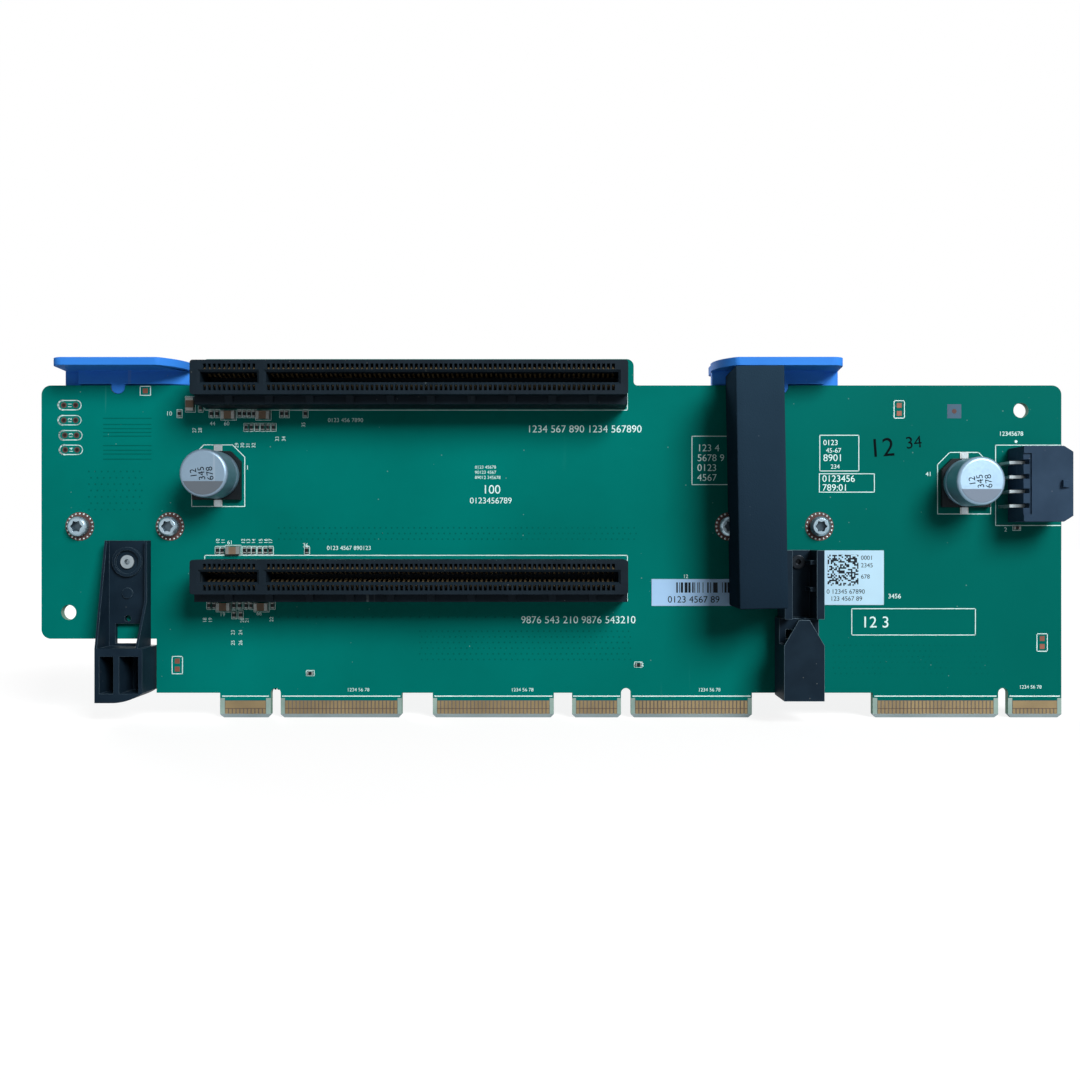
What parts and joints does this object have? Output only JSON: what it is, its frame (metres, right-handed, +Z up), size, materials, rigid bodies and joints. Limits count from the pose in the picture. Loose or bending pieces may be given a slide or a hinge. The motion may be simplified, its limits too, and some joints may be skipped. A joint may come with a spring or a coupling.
{
  "type": "server riser card",
  "caption": "Server riser card on edge: circuit board with card slots, gold edge fingers, a power socket, blue lifting handles, guides, capacitors and a foam block.",
  "frame": {"origin": "mid-length of the board, in its mid-plane, at the foot of the edge tongues", "axes": "+X along the board, +Z up from the edge fingers, slots face -Y"},
  "size_m": [0.217, 0.025, 0.0763],
  "materials": {
    "laminate": "satin solder mask over laminate",
    "gold": "thin gold plating",
    "slot_plastic": "fine moulded",
    "socket_plastic": "fine moulded",
    "tinned_pins": "bright tin plating",
    "can_metal": "drawn, satin",
    "base_plastic": "moulded",
    "blue_plastic": "smooth moulded",
    "screw_metal": "zinc plated",
    "insert_brass": "turned",
    "guide_plastic": "moulded",
    "rivet_metal": "plain",
    "foam": "closed-cell foam",
    "label_paper": "plain sticker",
    "resistor_ceramic": "chip body",
    "capacitor_ceramic": "chip body"
  },
  "bodies": {
    "root": {"circuit_board": "laminate", "front_edge_fingers": "gold", "back_edge_fingers": "gold", "top_slot_housing": "slot_plastic", "bottom_slot_housing": "slot_plastic", "power_socket_housing": "socket_plastic", "power_socket_pins": "tinned_pins", "left_capacitor_can": "can_metal", "left_capacitor_base": "base_plastic", "left_capacitor_leads": "tinned_pins", "right_capacitor_can": "can_metal", "right_capacitor_base": "base_plastic", "right_capacitor_leads": "tinned_pins", "left_handle": "blue_plastic", "right_handle": "blue_plastic", "handle_screws": "screw_metal", "handle_inserts": "insert_brass", "left_guide": "guide_plastic", "right_guide": "guide_plastic", "guide_rivets": "rivet_metal", "foam_block": "foam", "serial_label": "label_paper", "square_label": "label_paper", "chip_resistors": "resistor_ceramic", "chip_capacitors": "capacitor_ceramic"}
  },
  "joints": []
}
